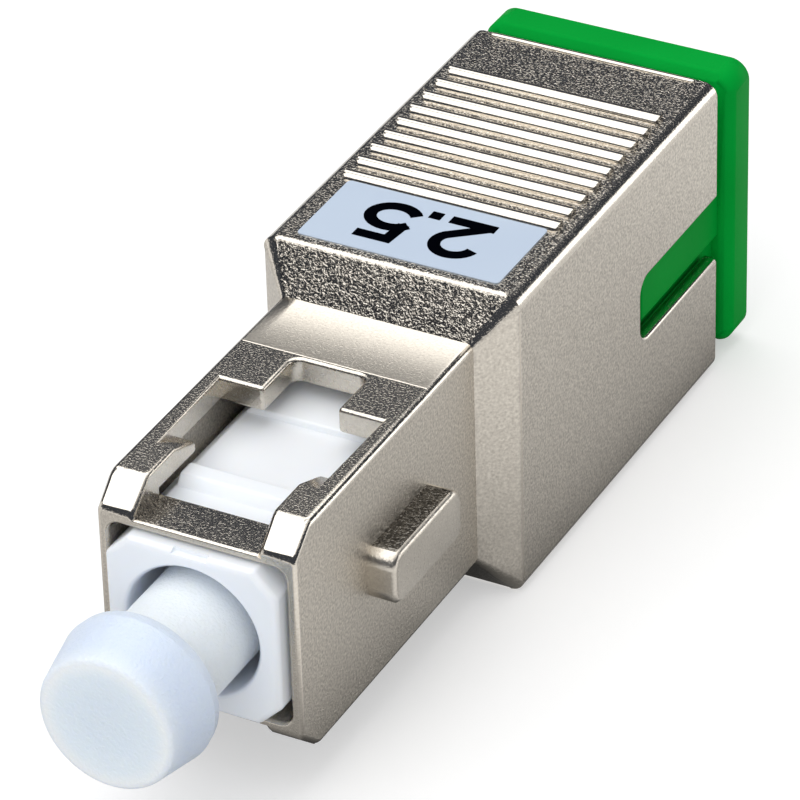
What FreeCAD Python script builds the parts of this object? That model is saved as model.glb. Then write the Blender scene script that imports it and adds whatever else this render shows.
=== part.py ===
import FreeCAD, Part
import math
import os

# Plug-to-socket fibre optic adapter, in millimetres.
# X points to the key side, Y runs from the plug face to the port, Z is up.
# The optical axis is the Y axis and the plug face of the outer shell is at Y = 0.

# Nose of the outer shell: the square plug section that enters a neighbouring port
NOSE_WIDTH = 7.4
NOSE_HEIGHT = 9.0
NOSE_LENGTH = 12.64
NOSE_EDGE_RADIUS = 0.25
NOSE_SIDE_WALL = 0.4
NOSE_TOP_WALL = 0.95
FRONT_BAR_DROP = 1.1
FRONT_BAR_THICKNESS = 0.3
FRONT_BAR_LENGTH = 1.85
FRONT_OPENING_RADIUS = 0.45
EAR_CHAMFER_LENGTH = 1.1
EAR_CHAMFER_HEIGHT = 0.95

# Latch window in the top and bottom of the nose
EAR_INSET = 1.4
EAR_FLAT_END = 2.85
EAR_TIP = 4.25
EAR_TIP_THICKNESS = 0.42
WINDOW_RAIL = 0.65
WINDOW_END = 7.25
STEM_WIDTH = 2.8
STEM_END = 9.4
STEM_CORNER_RADIUS = 0.35

# Key on the side of the nose
KEY_START = 4.7
KEY_LENGTH = 4.85
KEY_WIDTH = 2.05
KEY_HEIGHT = 1.08
KEY_CORNER_RADIUS = 0.6
KEY_EDGE_CHAMFER = 0.18

# Grip: the larger rear block of the shell, joined to the nose by a bevel
BEVEL_LENGTH = 1.13
GRIP_LENGTH = 15.95
GRIP_SIDE_WALL = 0.6
GRIP_TOP_WALL = 0.7
GRIP_EDGE_RADIUS = 0.55
GRIP_REAR_CHAMFER = 0.15
GRIP_FRONT_WALL = 0.5
SLOT_WIDTH = 2.56
SLOT_LENGTH = 6.47
SLOT_CORNER_RADIUS = 0.6
RIB_COUNT = 9
RIB_PITCH = 1.0
RIB_WIDTH = 0.62
RIB_HEIGHT = 0.23
RIB_SIDE_INSET = 0.75
RIB_END_CHAMFER = 0.24
RIB_FIRST = 4.63
RIB_ROOT = 0.1

# Value label on the top of the grip
LABEL_WIDTH = 7.74
LABEL_LENGTH = 3.85
LABEL_START = 0.45
LABEL_THICKNESS = 0.05
LABEL_CORNER_RADIUS = 0.15

# Push-pull travel of the core inside the shell
PUSH_TRAVEL = 0.85
STOP_CLEARANCE = 0.1
SLIDE_CLEARANCE = 0.1
FRAME_CLEARANCE = 0.05
SEAT_CLEARANCE = 0.02

# Rear housing with its port, flange and snap barbs
PORT_CLEARANCE = 0.05
HOUSING_SIDE_WALL = 0.47
HOUSING_TOP_WALL = 0.7
HOUSING_EDGE_RADIUS = 0.45
HOUSING_FLOOR = 0.8
FRAME_SOCKET_DEPTH = 1.3
FLANGE_THICKNESS = 1.6
FLANGE_SIDE_STEP = 0.8
FLANGE_TOP_STEP = 0.46
FLANGE_CORNER_RADIUS = 0.75
FLANGE_FRONT_CHAMFER = 0.28
FLANGE_REAR_CHAMFER = 0.15
PORT_CORNER_RADIUS = 0.25
GUIDE_RIB_WIDTH = 2.0
GUIDE_RIB_HEIGHT = 0.25
KEYWAY_CLEARANCE = 0.1
KEYWAY_LEAD = 0.5
BARB_WIDTH = 3.0
BARB_LENGTH = 1.2
BARB_FLAT = 0.3
BARB_HEIGHT = 0.35
BARB_SETBACK = 5.0
BARB_ROOF_CLEARANCE = 0.1

# Plug frame
FRAME_PROUD = 0.5
FRAME_CORNER = 0.85
FRAME_FRONT_RADIUS = 0.25
FRAME_HOLE_DIAMETER = 4.9
FRAME_HOLE_CHAMFER = 0.15
FRAME_HOLE_END = 3.6
SHOULDER_LENGTH = 0.8
SHOULDER_CLEARANCE = 0.2
CHAMBER_CLEARANCE = 0.15
RIDGE_CLEARANCE = 0.15
RIDGE_RAMP = 0.3
RIDGE_LENGTH = 0.72
RIDGE_RISE = 0.35
RECESS_LENGTH = 4.15
RECESS_DEPTH = 0.25
NOTCH_WIDTH = 1.3
NOTCH_LENGTH = 0.3
NOTCH_DEPTH = 0.14

# Ferrule, its collar and its spring
FERRULE_DIAMETER = 2.5
FERRULE_REACH = 4.9
FERRULE_CHAMFER = 0.4
FERRULE_POLISH_DEGREES = 8.0
PLUG_INSERTION = 10.85
COLLAR_LENGTH = 2.0
COLLAR_CLEARANCE = 0.1
COLLAR_TAIL_WALL = 0.4
COLLAR_TAIL_LENGTH = 1.0
SPRING_WIRE = 0.42
SPRING_WIRE_SIDES = 4
SPRING_TURNS = 3.5
SPRING_CLEARANCE = 0.2
SPRING_END_GAP = 0.05

# Split alignment sleeve, its holder with the latch hooks, and the ring that closes it
SLEEVE_LENGTH = 11.4
SLEEVE_WALL = 0.33
SLEEVE_SLOT = 0.5
SLEEVE_FIT = 0.02
SLEEVE_HOLDER_FIT = 0.05
HOLDER_WALL = 0.7
HOLDER_LIP = 0.3
HOLDER_LIP_CLEARANCE = 0.12
HOLDER_PLATE = 1.3
SEAT_RING_LENGTH = 0.8
HOOK_WIDTH = 2.4
HOOK_THICKNESS = 0.6
HOOK_CLEARANCE = 0.06
HOOK_BITE = 0.4
HOOK_HEAD = 0.95
HOOK_HEAD_FLAT = 0.3

# Dust cap on the front end of the ferrule
CAP_HEAD_DIAMETER = 5.72
CAP_FACE_DIAMETER = 4.95
CAP_HEAD_LENGTH = 2.5
CAP_RIM_CHAMFER = 0.22
CAP_NECK_DIAMETER = 4.05
CAP_NECK_FRONT = 3.62
CAP_NECK_REACH = 2.0
CAP_FIT = 0.02
CAP_END_GAP = 0.3

# Places along the axis that several pieces share
grip_start = NOSE_LENGTH + BEVEL_LENGTH
shell_end = grip_start + GRIP_LENGTH
flange_front = shell_end + PUSH_TRAVEL + STOP_CLEARANCE
flange_rear = flange_front + FLANGE_THICKNESS
plug_stop = flange_rear - PLUG_INSERTION
mating_plane = plug_stop - FERRULE_REACH
grip_cavity_start = grip_start + GRIP_FRONT_WALL
housing_front = grip_cavity_start + PUSH_TRAVEL + STOP_CLEARANCE
frame_end = housing_front + FRAME_SOCKET_DEPTH
plate_front = frame_end + HOUSING_FLOOR
plate_rear = plate_front + HOLDER_PLATE
frame_shoulder = FRAME_HOLE_END + SHOULDER_LENGTH
collar_front = frame_shoulder + SEAT_CLEARANCE
collar_rear = collar_front + COLLAR_LENGTH
sleeve_front = mating_plane - SLEEVE_LENGTH / 2
sleeve_rear = mating_plane + SLEEVE_LENGTH / 2
seat_ring_rear = sleeve_front - SLEEVE_HOLDER_FIT
seat_ring_front = seat_ring_rear - SEAT_RING_LENGTH
ridge_start = FRONT_BAR_LENGTH + PUSH_TRAVEL + RIDGE_CLEARANCE
ridge_rear = ridge_start + RIDGE_RAMP + RIDGE_LENGTH
slot_start = shell_end - SLOT_LENGTH
barb_start = housing_front + BARB_SETBACK

# Half sizes across the axis
nose_x = NOSE_WIDTH / 2
nose_z = NOSE_HEIGHT / 2
nose_cavity_x = nose_x - NOSE_SIDE_WALL
nose_cavity_z = nose_z - NOSE_TOP_WALL
bar_top_z = nose_z - FRONT_BAR_DROP
front_opening_z = bar_top_z - FRONT_BAR_THICKNESS
frame_x = nose_cavity_x - SLIDE_CLEARANCE
frame_z = front_opening_z - FRAME_CLEARANCE
ridge_z = frame_z + RIDGE_RISE
port_x = nose_x + PORT_CLEARANCE
port_z = nose_z + PORT_CLEARANCE
housing_x = port_x + HOUSING_SIDE_WALL
housing_z = port_z + HOUSING_TOP_WALL
grip_cavity_x = housing_x + SLIDE_CLEARANCE
grip_cavity_z = housing_z + SLIDE_CLEARANCE
grip_x = grip_cavity_x + GRIP_SIDE_WALL
grip_z = grip_cavity_z + GRIP_TOP_WALL
flange_x = housing_x + FLANGE_SIDE_STEP
flange_z = housing_z + FLANGE_TOP_STEP

# Radii about the axis
ferrule_r = FERRULE_DIAMETER / 2
sleeve_inner_r = ferrule_r + SLEEVE_FIT
sleeve_outer_r = sleeve_inner_r + SLEEVE_WALL
holder_inner_r = sleeve_outer_r + SLEEVE_HOLDER_FIT
holder_outer_r = holder_inner_r + HOLDER_WALL
chamber_r = holder_outer_r + CHAMBER_CLEARANCE
collar_tail_r = ferrule_r + COLLAR_TAIL_WALL

# How far a cutting solid runs past the surface that it cuts
OVERCUT = 1.0


def block(low, high):
    """Box between two opposite corners."""
    size = [b - a for a, b in zip(low, high)]
    return Part.makeBox(*size, FreeCAD.Vector(*low))


def rounded_outline(half_x, half_z, radius, y):
    """Closed wire of a rounded rectangle about the axis, in the plane at y."""
    edges = []
    for quarter in range(4):
        turn = math.radians(90 * quarter)
        side_x = 1 if quarter in (0, 3) else -1
        side_z = 1 if quarter in (0, 1) else -1
        centre_x = side_x * (half_x - radius)
        centre_z = side_z * (half_z - radius)
        arc = []
        for step in range(3):
            angle = turn + step * math.pi / 4
            arc.append(FreeCAD.Vector(centre_x + radius * math.cos(angle), y,
                                      centre_z + radius * math.sin(angle)))
        if edges:
            edges.append(Part.makeLine(edges[-1].lastVertex().Point, arc[0]))
        edges.append(Part.Arc(*arc).toShape())
    edges.append(Part.makeLine(edges[-1].lastVertex().Point, edges[0].firstVertex().Point))
    return Part.Wire(edges)


def rounded_prism(half_x, half_z, radius, y_low, y_high):
    """Rounded rectangle about the axis, carried from y_low to y_high."""
    face = Part.Face(rounded_outline(half_x, half_z, radius, y_low))
    return face.extrude(FreeCAD.Vector(0, y_high - y_low, 0))


def cylinder(radius, y_low, y_high):
    """Round bar along the axis."""
    return Part.makeCylinder(radius, y_high - y_low, FreeCAD.Vector(0, y_low, 0), FreeCAD.Vector(0, 1, 0))


def ring(outer_radius, inner_radius, y_low, y_high):
    """Tube along the axis."""
    bore = cylinder(inner_radius, y_low - OVERCUT, y_high + OVERCUT)
    return cylinder(outer_radius, y_low, y_high).cut(bore)


def side_profile(points, half_width):
    """Outline given as (y, z) points, carried across x from -half_width to half_width."""
    corners = [FreeCAD.Vector(-half_width, y, z) for y, z in points]
    face = Part.Face(Part.makePolygon(corners + corners[:1]))
    return face.extrude(FreeCAD.Vector(2 * half_width, 0, 0))


def plan_profile(points, z_low, z_high):
    """Outline given as (x, y) points, carried up from z_low to z_high."""
    corners = [FreeCAD.Vector(x, y, z_low) for x, y in points]
    face = Part.Face(Part.makePolygon(corners + corners[:1]))
    return face.extrude(FreeCAD.Vector(0, 0, z_high - z_low))


def edges_at(shape, y):
    """Every edge of the shape that lies in the plane at y."""
    return [e for e in shape.Edges if all(abs(v.Y - y) < 1e-6 for v in e.Vertexes)]


def edges_along(shape, direction):
    """Straight edges of the shape that run along one axis: 'x', 'y' or 'z'."""
    axis = {"x": FreeCAD.Vector(1, 0, 0), "y": FreeCAD.Vector(0, 1, 0), "z": FreeCAD.Vector(0, 0, 1)}[direction]
    chosen = []
    for edge in shape.Edges:
        if isinstance(edge.Curve, Part.Line) and abs(edge.Curve.Direction.dot(axis)) > 0.999:
            chosen.append(edge)
    return chosen


def top_and_bottom(shape):
    """The shape and its mirror image below the axis."""
    return [shape, shape.mirror(FreeCAD.Vector(0, 0, 0), FreeCAD.Vector(0, 0, 1))]


def save(shape, node):
    shape.removeSplitter().exportStep("parts/" + node + ".step")


def shell_key():
    """Raised key with round corners that only lets the plug enter one way round."""
    key = block((nose_x - NOSE_SIDE_WALL / 2, KEY_START, -KEY_WIDTH / 2),
                (nose_x + KEY_HEIGHT, KEY_START + KEY_LENGTH, KEY_WIDTH / 2))
    key = key.makeFillet(KEY_CORNER_RADIUS, edges_along(key, "x"))
    outer = [e for e in key.Edges if all(v.X > nose_x for v in e.Vertexes)]
    return key.makeChamfer(KEY_EDGE_CHAMFER, outer)


def latch_window():
    """Cut for the top window: ear gap, wide part and stem, with ramps on the ear tips."""
    gap_x = nose_x - EAR_INSET
    wide_x = nose_x - WINDOW_RAIL
    stem_x = STEM_WIDTH / 2
    half = [(gap_x, -OVERCUT), (gap_x, EAR_TIP), (wide_x, EAR_TIP), (wide_x, WINDOW_END),
            (stem_x, WINDOW_END), (stem_x, STEM_END)]
    outline = half + [(-x, y) for x, y in reversed(half)]
    opening = plan_profile(outline, bar_top_z, nose_z + OVERCUT)
    stem_corners = [e for e in edges_along(opening, "z") if abs(e.CenterOfMass.y - STEM_END) < 1e-6]
    opening = opening.makeFillet(STEM_CORNER_RADIUS, stem_corners)
    tip_z = nose_cavity_z + EAR_TIP_THICKNESS
    slope = (nose_z - tip_z) / (EAR_TIP - EAR_FLAT_END)
    ramp = side_profile([(EAR_FLAT_END - OVERCUT, nose_z + slope * OVERCUT),
                         (EAR_TIP, tip_z),
                         (EAR_TIP, nose_z + slope * OVERCUT)], wide_x)
    return opening.fuse(ramp)


def ear_chamfer():
    """Wedge taken off the top front edge of the nose."""
    slope = EAR_CHAMFER_HEIGHT / EAR_CHAMFER_LENGTH
    front_z = nose_z - EAR_CHAMFER_HEIGHT
    return side_profile([(-OVERCUT, front_z - slope * OVERCUT),
                         (EAR_CHAMFER_LENGTH + OVERCUT, nose_z + slope * OVERCUT),
                         (-OVERCUT, nose_z + slope * OVERCUT)], nose_x + OVERCUT)


def side_slot():
    """Slot in the side of the grip, open at the rear, with round inner corners."""
    slot = block((grip_cavity_x - OVERCUT, slot_start, -SLOT_WIDTH / 2),
                 (grip_x + OVERCUT, shell_end + OVERCUT, SLOT_WIDTH / 2))
    inner = [e for e in edges_along(slot, "x") if abs(e.CenterOfMass.y - slot_start) < 1e-6]
    return slot.makeFillet(SLOT_CORNER_RADIUS, inner)


def grip_rib(y):
    """Low half-round bar across the top of the grip, with cut-off corners."""
    reach = grip_x - RIB_SIDE_INSET
    base = grip_z - RIB_ROOT
    crest = grip_z + RIB_HEIGHT
    radius = (RIB_WIDTH ** 2 / 4 + RIB_HEIGHT ** 2) / (2 * RIB_HEIGHT)
    spread = radius + RIB_ROOT
    bar = Part.makeCylinder(radius, 2 * reach, FreeCAD.Vector(-reach, y, crest - radius),
                            FreeCAD.Vector(1, 0, 0))
    inner_x = reach - RIB_END_CHAMFER
    inner_y = spread - RIB_END_CHAMFER
    right = [(inner_x, y - spread), (reach, y - inner_y), (reach, y + inner_y), (inner_x, y + spread)]
    plan = plan_profile(right + [(-x, across) for x, across in reversed(right)], base, crest + OVERCUT)
    return bar.common(plan)


def barb_pocket():
    """Pocket in the inner top face of the grip, as long as the barb and its travel."""
    roof = housing_z + BARB_HEIGHT + BARB_ROOF_CLEARANCE
    half_width = BARB_WIDTH / 2 + STOP_CLEARANCE
    return block((-half_width, barb_start - PUSH_TRAVEL - STOP_CLEARANCE, grip_cavity_z - OVERCUT),
                 (half_width, barb_start + BARB_LENGTH + FRAME_CLEARANCE, roof))


def make_outer_shell():
    nose = rounded_prism(nose_x, nose_z, NOSE_EDGE_RADIUS, 0, NOSE_LENGTH)
    bevel = Part.makeLoft([rounded_outline(nose_x, nose_z, NOSE_EDGE_RADIUS, NOSE_LENGTH),
                           rounded_outline(grip_x, grip_z, GRIP_EDGE_RADIUS, grip_start)], True, True)
    grip = rounded_prism(grip_x, grip_z, GRIP_EDGE_RADIUS, grip_start, shell_end)
    grip = grip.makeChamfer(GRIP_REAR_CHAMFER, edges_at(grip, shell_end))
    shell = nose.fuse([bevel, grip, shell_key()])

    front_opening = rounded_prism(nose_cavity_x, front_opening_z, FRONT_OPENING_RADIUS,
                                  -OVERCUT, FRONT_BAR_LENGTH + OVERCUT)
    nose_cavity = block((-nose_cavity_x, FRONT_BAR_LENGTH, -nose_cavity_z),
                        (nose_cavity_x, grip_cavity_start + OVERCUT, nose_cavity_z))
    grip_cavity = block((-grip_cavity_x, grip_cavity_start, -grip_cavity_z),
                        (grip_cavity_x, shell_end + OVERCUT, grip_cavity_z))
    slot = side_slot()
    far_slot = slot.mirror(FreeCAD.Vector(0, 0, 0), FreeCAD.Vector(1, 0, 0))
    cuts = [front_opening, nose_cavity, grip_cavity, slot, far_slot]
    for cut in (latch_window(), ear_chamfer(), barb_pocket()):
        cuts.extend(top_and_bottom(cut))
    shell = shell.cut(cuts)

    first = grip_start + RIB_FIRST
    ribs = [grip_rib(first + number * RIB_PITCH) for number in range(RIB_COUNT)]
    return shell.fuse(ribs)


def make_value_label():
    start = grip_start + LABEL_START
    label = block((-LABEL_WIDTH / 2, start, grip_z),
                  (LABEL_WIDTH / 2, start + LABEL_LENGTH, grip_z + LABEL_THICKNESS))
    return label.makeFillet(LABEL_CORNER_RADIUS, edges_along(label, "z"))


def latch_ridge():
    """Ramped ridge on the plug frame, behind which a latch hook catches."""
    half_width = frame_x - FRAME_CORNER
    root = frame_z - RECESS_DEPTH
    return side_profile([(ridge_start, root), (ridge_start, frame_z), (ridge_start + RIDGE_RAMP, ridge_z),
                         (ridge_rear, ridge_z), (ridge_rear, root)], half_width)


def make_plug_frame():
    corner = FRAME_CORNER
    outline = [(frame_x, frame_z - corner), (frame_x - corner, frame_z),
               (corner - frame_x, frame_z), (-frame_x, frame_z - corner),
               (-frame_x, corner - frame_z), (corner - frame_x, -frame_z),
               (frame_x - corner, -frame_z), (frame_x, corner - frame_z)]
    corners = [FreeCAD.Vector(x, -FRAME_PROUD, z) for x, z in outline]
    face = Part.Face(Part.makePolygon(corners + corners[:1]))
    frame = face.extrude(FreeCAD.Vector(0, frame_end + FRAME_PROUD, 0))
    frame = frame.makeFillet(FRAME_FRONT_RADIUS, edges_at(frame, -FRAME_PROUD))

    recess = block((-frame_x, ridge_rear, frame_z - RECESS_DEPTH),
                   (frame_x, ridge_rear + RECESS_LENGTH, frame_z + OVERCUT))
    frame = frame.cut(top_and_bottom(recess))
    frame = frame.fuse(top_and_bottom(latch_ridge()))

    hole_r = FRAME_HOLE_DIAMETER / 2
    front_hole = cylinder(hole_r, -FRAME_PROUD - OVERCUT, FRAME_HOLE_END)
    shoulder_hole = cylinder(ferrule_r + SHOULDER_CLEARANCE, FRAME_HOLE_END - OVERCUT, frame_shoulder + OVERCUT)
    chamber = cylinder(chamber_r, frame_shoulder, frame_end + OVERCUT)
    notch = block((-NOTCH_WIDTH / 2, -FRAME_PROUD - OVERCUT, frame_z - NOTCH_DEPTH),
                  (NOTCH_WIDTH / 2, NOTCH_LENGTH - FRAME_PROUD, frame_z + OVERCUT))
    frame = frame.cut([front_hole, shoulder_hole, chamber, notch])
    rim = [e for e in frame.Edges if isinstance(e.Curve, Part.Circle)
           and abs(e.Curve.Center.y + FRAME_PROUD) < 1e-6 and abs(e.Curve.Radius - hole_r) < 1e-6]
    return frame.makeChamfer(FRAME_HOLE_CHAMFER, rim)


def snap_barb():
    """Wedge on the housing that holds the core in the shell: sloped in front, square behind."""
    end = barb_start + BARB_LENGTH
    root = housing_z - HOUSING_TOP_WALL / 2
    return side_profile([(barb_start, root), (barb_start, housing_z),
                         (end - BARB_FLAT, housing_z + BARB_HEIGHT),
                         (end, housing_z + BARB_HEIGHT), (end, root)], BARB_WIDTH / 2)


def make_rear_housing():
    body = rounded_prism(housing_x, housing_z, HOUSING_EDGE_RADIUS, housing_front, flange_front)
    flange = rounded_prism(flange_x, flange_z, FLANGE_CORNER_RADIUS, flange_front, flange_rear)
    flange = flange.makeChamfer(FLANGE_FRONT_CHAMFER, edges_at(flange, flange_front))
    flange = flange.makeChamfer(FLANGE_REAR_CHAMFER, edges_at(flange, flange_rear))
    rib_start = slot_start + PUSH_TRAVEL + STOP_CLEARANCE
    guide_rib = block((port_x + HOUSING_SIDE_WALL / 2, rib_start, -GUIDE_RIB_WIDTH / 2),
                      (housing_x + GUIDE_RIB_HEIGHT, flange_front + FLANGE_THICKNESS / 2, GUIDE_RIB_WIDTH / 2))
    housing = body.fuse([flange, guide_rib] + top_and_bottom(snap_barb()))

    socket = block((-frame_x - SEAT_CLEARANCE, housing_front - OVERCUT, -frame_z - SEAT_CLEARANCE),
                   (frame_x + SEAT_CLEARANCE, frame_end, frame_z + SEAT_CLEARANCE))
    passage = cylinder(holder_outer_r + SEAT_CLEARANCE, frame_end - OVERCUT, plate_front + OVERCUT)
    port = rounded_prism(port_x, port_z, PORT_CORNER_RADIUS, plate_front, flange_rear + OVERCUT)
    keyway_z = KEY_WIDTH / 2 + KEYWAY_CLEARANCE
    keyway = block((-grip_x - OVERCUT, plug_stop + KEY_START - KEYWAY_LEAD, -keyway_z),
                   (0, flange_rear + OVERCUT, keyway_z))
    return housing.cut([socket, passage, port, keyway])


def latch_hook():
    """Springy arm from the holder plate that catches a plug frame's ridge from above."""
    inner_z = ridge_z + HOOK_CLEARANCE
    outer_z = inner_z + HOOK_THICKNESS
    claw_z = ridge_z - HOOK_BITE
    claw_front = plug_stop + ridge_rear + HOOK_CLEARANCE
    tip = claw_front + HOOK_HEAD
    return side_profile([(plate_rear - HOLDER_PLATE / 2, inner_z), (claw_front, inner_z), (claw_front, claw_z),
                         (claw_front + HOOK_HEAD_FLAT, claw_z), (tip, inner_z), (tip, outer_z),
                         (plate_rear - HOLDER_PLATE / 2, outer_z)], HOOK_WIDTH / 2)


def make_sleeve_holder():
    tube_end = sleeve_rear + SLEEVE_HOLDER_FIT + HOLDER_LIP
    tube = cylinder(holder_outer_r, seat_ring_rear, tube_end)
    plate = rounded_prism(port_x - SEAT_CLEARANCE, port_z - SEAT_CLEARANCE, PORT_CORNER_RADIUS,
                          plate_front, plate_rear)
    holder = tube.fuse([plate] + top_and_bottom(latch_hook()))
    bore = cylinder(holder_inner_r, seat_ring_rear - OVERCUT, sleeve_rear + SLEEVE_HOLDER_FIT)
    mouth = cylinder(ferrule_r + HOLDER_LIP_CLEARANCE, sleeve_rear - OVERCUT, tube_end + OVERCUT)
    return holder.cut([bore, mouth])


def make_seat_ring():
    return ring(chamber_r - SEAT_CLEARANCE, ferrule_r + SHOULDER_CLEARANCE, seat_ring_front, seat_ring_rear)


def make_alignment_sleeve():
    sleeve = ring(sleeve_outer_r, sleeve_inner_r, sleeve_front, sleeve_rear)
    slot = block((-SLEEVE_SLOT / 2, sleeve_front - OVERCUT, 0),
                 (SLEEVE_SLOT / 2, sleeve_rear + OVERCUT, sleeve_outer_r + OVERCUT))
    return sleeve.cut(slot)


def polished_end():
    """Slab that takes the slanted polish off the front end of the ferrule."""
    slab = block((-OVERCUT - ferrule_r, -OVERCUT, -OVERCUT - ferrule_r),
                 (OVERCUT + ferrule_r, 0, OVERCUT + ferrule_r))
    slab.rotate(FreeCAD.Vector(0, 0, 0), FreeCAD.Vector(0, 0, 1), FERRULE_POLISH_DEGREES)
    return slab


def make_ferrule():
    ferrule = cylinder(ferrule_r, -FERRULE_REACH, mating_plane)
    ends = [e for e in ferrule.Edges if isinstance(e.Curve, Part.Circle)]
    ferrule = ferrule.makeChamfer(FERRULE_CHAMFER, ends)
    front = polished_end()
    front.translate(FreeCAD.Vector(0, -FERRULE_REACH, 0))
    rear = polished_end()
    rear.rotate(FreeCAD.Vector(0, 0, 0), FreeCAD.Vector(0, 0, 1), 180)
    rear.translate(FreeCAD.Vector(0, mating_plane, 0))
    return ferrule.cut([front, rear])


def make_ferrule_collar():
    collar = cylinder(chamber_r - COLLAR_CLEARANCE, collar_front, collar_rear)
    tail = cylinder(collar_tail_r, collar_front, collar_rear + COLLAR_TAIL_LENGTH)
    bore = cylinder(ferrule_r, collar_front - OVERCUT, collar_rear + COLLAR_TAIL_LENGTH + OVERCUT)
    return collar.fuse(tail).cut(bore)


def make_ferrule_spring():
    """Wire carried along a helix between the collar and the seat ring."""
    wire_r = SPRING_WIRE / 2
    coil_r = collar_tail_r + SPRING_CLEARANCE + wire_r
    low = collar_rear + SPRING_END_GAP + wire_r
    high = seat_ring_front - SPRING_END_GAP - wire_r
    helix = Part.makeHelix((high - low) / SPRING_TURNS, high - low, coil_r)
    corners = []
    for side in range(SPRING_WIRE_SIDES + 1):
        angle = 2 * math.pi * side / SPRING_WIRE_SIDES
        corners.append(FreeCAD.Vector(coil_r + wire_r * math.cos(angle), 0, wire_r * math.sin(angle)))
    spring = Part.Wire(helix).makePipeShell([Part.makePolygon(corners)], True, True)
    spring.rotate(FreeCAD.Vector(0, 0, 0), FreeCAD.Vector(1, 0, 0), -90)
    spring.translate(FreeCAD.Vector(0, low, 0))
    return spring


def make_dust_cap():
    """Turned profile: tapered head in front, neck behind, blind bore for the ferrule."""
    head_r = CAP_HEAD_DIAMETER / 2
    face_r = CAP_FACE_DIAMETER / 2
    neck_r = CAP_NECK_DIAMETER / 2
    head_front = -CAP_NECK_FRONT - CAP_HEAD_LENGTH
    head = Part.makeCone(face_r, head_r, CAP_HEAD_LENGTH, FreeCAD.Vector(0, head_front, 0),
                         FreeCAD.Vector(0, 1, 0))
    rims = [e for e in head.Edges if isinstance(e.Curve, Part.Circle)]
    head = head.makeChamfer(CAP_RIM_CHAMFER, rims)
    neck = cylinder(neck_r, -CAP_NECK_FRONT - CAP_HEAD_LENGTH / 2, CAP_NECK_REACH)
    bore = cylinder(ferrule_r + CAP_FIT, -FERRULE_REACH - CAP_END_GAP, CAP_NECK_REACH + OVERCUT)
    return head.fuse(neck).cut(bore)


os.makedirs("parts", exist_ok=True)
save(make_outer_shell(), "outer_shell")
save(make_value_label(), "value_label")
save(make_plug_frame(), "plug_frame")
save(make_rear_housing(), "rear_housing")
save(make_sleeve_holder(), "sleeve_holder")
save(make_seat_ring(), "seat_ring")
save(make_alignment_sleeve(), "alignment_sleeve")
save(make_ferrule(), "ferrule")
save(make_ferrule_collar(), "ferrule_collar")
save(make_ferrule_spring(), "ferrule_spring")
save(make_dust_cap(), "dust_cap")
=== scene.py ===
import math

import bmesh
import bpy
import numpy as np
from mathutils import Matrix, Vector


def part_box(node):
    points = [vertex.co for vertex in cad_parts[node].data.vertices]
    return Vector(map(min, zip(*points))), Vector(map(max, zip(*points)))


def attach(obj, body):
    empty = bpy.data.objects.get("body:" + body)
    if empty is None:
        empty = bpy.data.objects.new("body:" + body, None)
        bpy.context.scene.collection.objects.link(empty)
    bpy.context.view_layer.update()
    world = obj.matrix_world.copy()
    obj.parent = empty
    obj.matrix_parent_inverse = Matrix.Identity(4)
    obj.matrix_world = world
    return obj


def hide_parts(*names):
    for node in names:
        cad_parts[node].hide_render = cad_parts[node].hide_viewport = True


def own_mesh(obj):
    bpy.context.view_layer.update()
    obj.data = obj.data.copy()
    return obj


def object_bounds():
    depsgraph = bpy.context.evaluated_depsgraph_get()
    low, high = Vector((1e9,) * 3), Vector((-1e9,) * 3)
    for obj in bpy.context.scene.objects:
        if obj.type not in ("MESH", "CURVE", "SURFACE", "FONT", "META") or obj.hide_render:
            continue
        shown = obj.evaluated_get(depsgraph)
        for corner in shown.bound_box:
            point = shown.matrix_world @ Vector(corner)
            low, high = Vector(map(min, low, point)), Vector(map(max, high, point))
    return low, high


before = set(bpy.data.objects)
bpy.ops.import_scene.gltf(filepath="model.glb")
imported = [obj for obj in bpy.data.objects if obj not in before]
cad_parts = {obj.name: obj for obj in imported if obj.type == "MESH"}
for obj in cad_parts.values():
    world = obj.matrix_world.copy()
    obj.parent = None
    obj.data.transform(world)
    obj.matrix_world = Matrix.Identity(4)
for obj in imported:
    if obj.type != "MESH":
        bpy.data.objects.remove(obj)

cad_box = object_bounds()

MM = 0.001
PHOTO_PIXELS = 800

# Dressing of the CAD solids: corners nearer than WELD are one corner, faces that turn by less than FLAT_TURN
# are one face, and edges under SHORT_EDGE go. An outer edge that turns by more than EDGE_TURN is rounded
# where the faces beside it reach EDGE_ROOM times its width, and one over CREASE_TURN that is left stays
# sharp. The ears' slopes lie in front of EAR_DEPTH and below EAR_TOP.
WELD = 0.5e-6
FLAT_TURN = math.radians(0.4)
SHORT_EDGE = 0.0195 * MM
EDGE_TURN = math.radians(34.0)
EDGE_ROOM = 2.3
CREASE_TURN = math.radians(50.0)
EAR_DEPTH, EAR_TOP = 1.3 * MM, 4.49 * MM

# The shell's finish: what each attribute is on a face that finish_faces names no place for. The last is
# painted shade on the plate's colour.
FINISH = {"pebble": 0.0, "grit": 0.02, "dull": 0.10, "mottle": 0.2, "painted_shade": 0.0}

# Its grain: the full height of the relief, the sizes of pebbles, specks and clouds, the shade the clouds
# wander about, the share of the colour that full painted shade leaves, and how far the gloss wanders with the
# specks.
RELIEF = 0.1 * MM
PEBBLE_MM, SPECK_MM, CLOUD_MM = 0.13, 0.075, 0.10
MID_SHADE, FULL_PAINTED_SHADE, SPECK_GLOSS = 0.55, 0.28, 0.08

# On top of the nose: where the step line and the hollow begin and end along Y, where the hollow fades in
# across X, their heights as shares of RELIEF, the power that bends the hollow, and the roughness added
# behind the step line.
STEP_LINE = (9.57 * MM, 9.63 * MM)
HOLLOW_ALONG = (9.6 * MM, 12.64 * MM)
HOLLOW_ACROSS = (-3.75 * MM, -3.0 * MM)
STEP_RISE, HOLLOW_DEPTH, HOLLOW_BEND, STEP_DULL = 0.14, 3.2, 2.2, 0.12
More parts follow.
